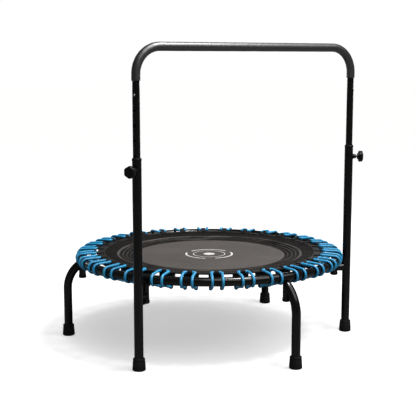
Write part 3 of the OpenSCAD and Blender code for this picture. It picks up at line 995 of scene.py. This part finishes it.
def joint_screws():
    """Pan-head screws with a hexagon socket."""
    low = 7 * MM
    profile = [
        (0, low), (2.4 * MM, low), (2.4 * MM, BAR_R + 0.1 * MM), (3.9 * MM, BAR_R + 0.1 * MM),
        (4.0 * MM, BAR_R + 0.4 * MM), (3.7 * MM, BAR_R + 0.9 * MM), (2.9 * MM, BAR_R + 1.4 * MM),
        (2.0 * MM, BAR_R + 1.6 * MM), (hexagon(1.25 * MM), BAR_R + 1.55 * MM),
        (hexagon(1.2 * MM), BAR_R + 0.5 * MM), (0, BAR_R + 0.3 * MM),
    ]
    solid = Solid()
    z = middle("joint_screws").z
    for side in POSTS:
        place = along_x(round_station(STATIONS[f"post_{side}"], POST_R, z))
        solid.add(lathe(profile, 36), place, capped=False)
    made = piece("socket_screws", solid, MATERIALS["bright_steel"], "handlebar")
    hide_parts("joint_screws")


foam_grip()
joint_screws()

# ---------------------------------------------------------------- height locks


def lock_screw(side):
    """A threaded rod with a chamfered point, seen between the welded nut and the knob."""
    low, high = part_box(f"lock_screw_{side}")
    major = (high.z - low.z) / 2
    start, end, pitch, depth = BAR_R + 0.3 * MM, 49 * MM, 1.25 * MM, 0.5 * MM
    per_turn, sides = 8, 32
    count = int((end - start) / pitch * per_turn) + 1
    turn = np.arange(sides) * 2 * np.pi / sides
    rings = []
    for x in np.linspace(start, end, count):
        phase = (x / pitch - turn / (2 * np.pi)) % 1
        groove = depth * np.clip(1.2 * np.abs(2 * phase - 1) - 0.1, 0, 1)
        limit = major - max(0.0, 1.0 * MM - (x - start) * 0.8)
        r = np.minimum(major - groove, limit)
        rings.append(np.stack([r * np.cos(turn), r * np.sin(turn), np.full(sides, x)], 1))
    place = along_x(round_station(STATIONS[f"post_{side}"], POST_R, LOCK_Z))
    solid = Solid().add(rings, place)
    name = f"threaded_rod_{side}"
    made = piece(name, solid, MATERIALS["zinc_steel"], f"screw_{side}", 60)
    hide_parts(f"lock_screw_{side}")


def lobed(radius, inset=0.0):
    """Outline of the knob: low rounded lobes on a round core, drawn in by inset."""
    lobe, valley, count = 11 * MM, radius - 2 * MM, 6

    def outline(angle):
        off = (angle + math.pi / count) % (2 * math.pi / count) - math.pi / count
        out = (radius - lobe) * np.cos(off)
        crest = out + np.sqrt(lobe**2 - ((radius - lobe) * np.sin(off)) ** 2)
        return np.log(np.exp(crest / MM * 2) + np.exp(valley / MM * 2)) * MM / 2 - inset

    return outline


def lock_knob(side):
    """A moulded knob: hub, lobed rim with rounded edges, and a shallow dish in its face."""
    low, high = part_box(f"lock_knob_{side}")
    radius = (high.z - low.z) / 2 - 0.15 * MM
    hub, hub_r, rim, face = 33 * MM, 11 * MM, 38 * MM, 54 * MM
    profile = [(4.1 * MM, hub), (hub_r - 1 * MM, hub), (hub_r, hub + 1 * MM), (hub_r, rim - 1 * MM)]
    profile += [(hub_r + 1.2 * MM, rim)]
    rise = [(3.6, 0.0), (1.6, 0.3), (0.5, 1.1), (0.05, 2.4)]
    profile += [(lobed(radius, inset * MM), rim + h * MM) for inset, h in rise]
    profile += [(lobed(radius, 0.0), rim + 6 * MM), (lobed(radius, 0.1 * MM), face - 5 * MM)]
    fall = [(0.5, 3.4), (1.4, 1.9), (2.8, 0.8), (4.6, 0.2), (6.5, 0.0)]
    profile += [(lobed(radius, inset * MM), face - h * MM) for inset, h in fall]
    profile += [(12.6 * MM, face), (12.0 * MM, face - 0.2 * MM), (11.4 * MM, face - 0.9 * MM)]
    profile += [(10.4 * MM, face - 1.1 * MM), (4 * MM, face - 1.0 * MM), (0, face - 1.0 * MM)]
    place = along_x(round_station(STATIONS[f"post_{side}"], POST_R, LOCK_Z))
    bore = [(0, 49.5 * MM), (4.1 * MM, 49.5 * MM)]
    solid = Solid().add(lathe(bore + profile, 120), place, capped=False)
    name = f"lobed_knob_{side}"
    made = piece(name, solid, MATERIALS["knob_plastic"], f"knob_{side}", 42)
    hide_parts(f"lock_knob_{side}")


for side in POSTS:
    lock_screw(side)
    lock_knob(side)

# ---------------------------------------------------------------- feet, caps and welds


def foot(station):
    """A rubber shoe with a lip, a shallow groove under it and a rounded sole."""
    node = f"foot_{station}"
    low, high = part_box(node)
    base, height = (high.x - low.x) / 2, high.z
    profile = [(0, 1.2), (6, 1.2), (6.6, 0), (10, 0), (10.6, 1.2), (13, 1.2), (13.6, 0)]
    profile = [(r * MM, z * MM) for r, z in profile]
    profile += fillet(base - 5 * MM, 5 * MM, 5 * MM, -90, 4, 8)
    profile += [(base - 0.9 * MM, 0.42 * height), (base - 1.9 * MM, 0.76 * height)]
    profile += [(base - 2.7 * MM, 0.79 * height), (base - 2.7 * MM, 0.815 * height)]
    profile += [(base - 2.1 * MM, 0.84 * height), (base - 2.3 * MM, height - 2.2 * MM)]
    profile += fillet(base - 4.3 * MM, height - 1.9 * MM, 1.9 * MM, 10, 90, 5)
    profile += [(TUBE_R + 0.9 * MM, height), (TUBE_R + 0.15 * MM, height - 0.8 * MM)]
    profile += [(TUBE_R + 0.15 * MM, 7.9 * MM), (0, 7.9 * MM)]
    centre = (low + high) / 2
    solid = Solid().add(lathe(profile, 72), Matrix.Translation((centre.x, centre.y, 0)), capped=False)
    made = piece(f"rubber_shoe_{station}", solid, MATERIALS["foot_rubber"], "frame")
    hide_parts(node)


def leg_caps():
    """Hand screws with a knurled cap, one under each sleeve."""
    low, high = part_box("leg_lock_caps")
    radius, face = 14.75 * MM, low.z + 12 * MM

    def knurled(inset):
        return lambda angle: radius - inset - 0.35 * MM * (1 + np.cos(30 * angle)) / 2

    profile = [(0, low.z), (radius - 5 * MM, low.z), (radius - 2.6 * MM, low.z + 0.6 * MM)]
    profile += [(radius - 0.9 * MM, low.z + 2.0 * MM), (radius - 0.3 * MM, low.z + 3.4 * MM)]
    profile += [(knurled(0.0), low.z + 4.2 * MM), (knurled(0.0), face - 2.4 * MM)]
    profile += [(radius, face - 1.6 * MM), (radius, face - 0.5 * MM), (radius - 0.5 * MM, face)]
    profile += [(4 * MM, face), (4 * MM, high.z), (0, high.z)]
    solid = Solid()
    for angle in STATIONS.values():
        solid.add(lathe(profile, 120), round_station(angle, RING_R), capped=False)
    made = piece("knurled_leg_caps", solid, MATERIALS["black_plastic"], "frame")
    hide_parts("leg_lock_caps")


def bead(solid, line, place, looped=True):
    """A weld bead along a line, with the ripple of its pool."""
    length, ripple, height = travel(line), 2.6 * MM, 0.16
    radii = WELD_R * (1 + height * np.sin(length * 2 * math.pi / ripple))
    if not looped:
        radii[0] = radii[-1] = WELD_R * 0.35
    solid.add(sweep(line, round_section(list(radii), 8), (1, 0.3, 0.2), looped), place, looped)


def saddle(axis_r, tube_r, side, centre_x, z, steps=90):
    """The line where a crosswise tube meets an upright one, on the side given by -1 or 1."""
    turn = np.arange(steps) * 2 * np.pi / steps
    y = tube_r * np.sin(turn)
    x = centre_x + side * np.sqrt(np.maximum(axis_r**2 - y**2, 1e-9))
    return np.stack([x, y, z + tube_r * np.cos(turn)], 1)


def leg_end(station):
    """The line round an arched leg where it meets its sleeve, in that leg's own frame."""
    leg_r = middle(f"foot_{station}").to_2d().length
    centre_x = leg_r - LEG_BEND_R
    line = []
    for turn in np.arange(90) * 2 * np.pi / 90:
        y = TUBE_R * math.sin(turn)
        reach = math.sqrt(max(SLEEVE_R**2 - y**2, 0.0))
        target = RING_R + max(reach, 4 * MM)
        r = LEG_BEND_R + TUBE_R * math.cos(turn)
        a = math.acos((target - centre_x) / r)
        line.append((target, y, LEG_BEND_Z + r * math.sin(a)))
    return np.array(line)


def welds():
    """Beads where the legs, brackets, nuts and gussets are welded on."""
    solid = Solid()
    for station in LEGS:
        bead(solid, leg_end(station), round_station(STATIONS[station]))
    bracket_z = middle("bracket_left").z
    for side in POSTS:
        place = round_station(STATIONS[f"post_{side}"])
        bead(solid, saddle(TUBE_R, BRACKET_R - 1 * MM, -1, POST_R, bracket_z), place)
        bead(solid, saddle(SLEEVE_R + 0.4 * MM, BRACKET_R - 1.5 * MM, 1, RING_R, bracket_z), place)
        bead(solid, saddle(TUBE_R, 10 * MM, 1, POST_R, LOCK_Z), place)
        low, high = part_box(f"gusset_{side}")
        for y in (-2.2 * MM, 2.2 * MM):
            x = POST_R - TUBE_R + 0.2 * MM
            line = [(x, y, z) for z in np.linspace(low.z + 3 * MM, high.z - 1 * MM, 16)]
            bead(solid, np.array(line), place, looped=False)
    return piece("weld_beads", solid, MATERIALS["painted_tube"], "frame", 70)


for station in STATIONS:
    foot(station)
leg_caps()
welds()

# ---------------------------------------------------------------- finish of the CAD nodes


def refinish():
    """Every CAD node gets the full material of the slot that it came with."""
    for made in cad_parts.values():
        for slot in made.material_slots:
            name = slot.material.name.split(".")[0]
            slot.material = MATERIALS[name]


refinish()
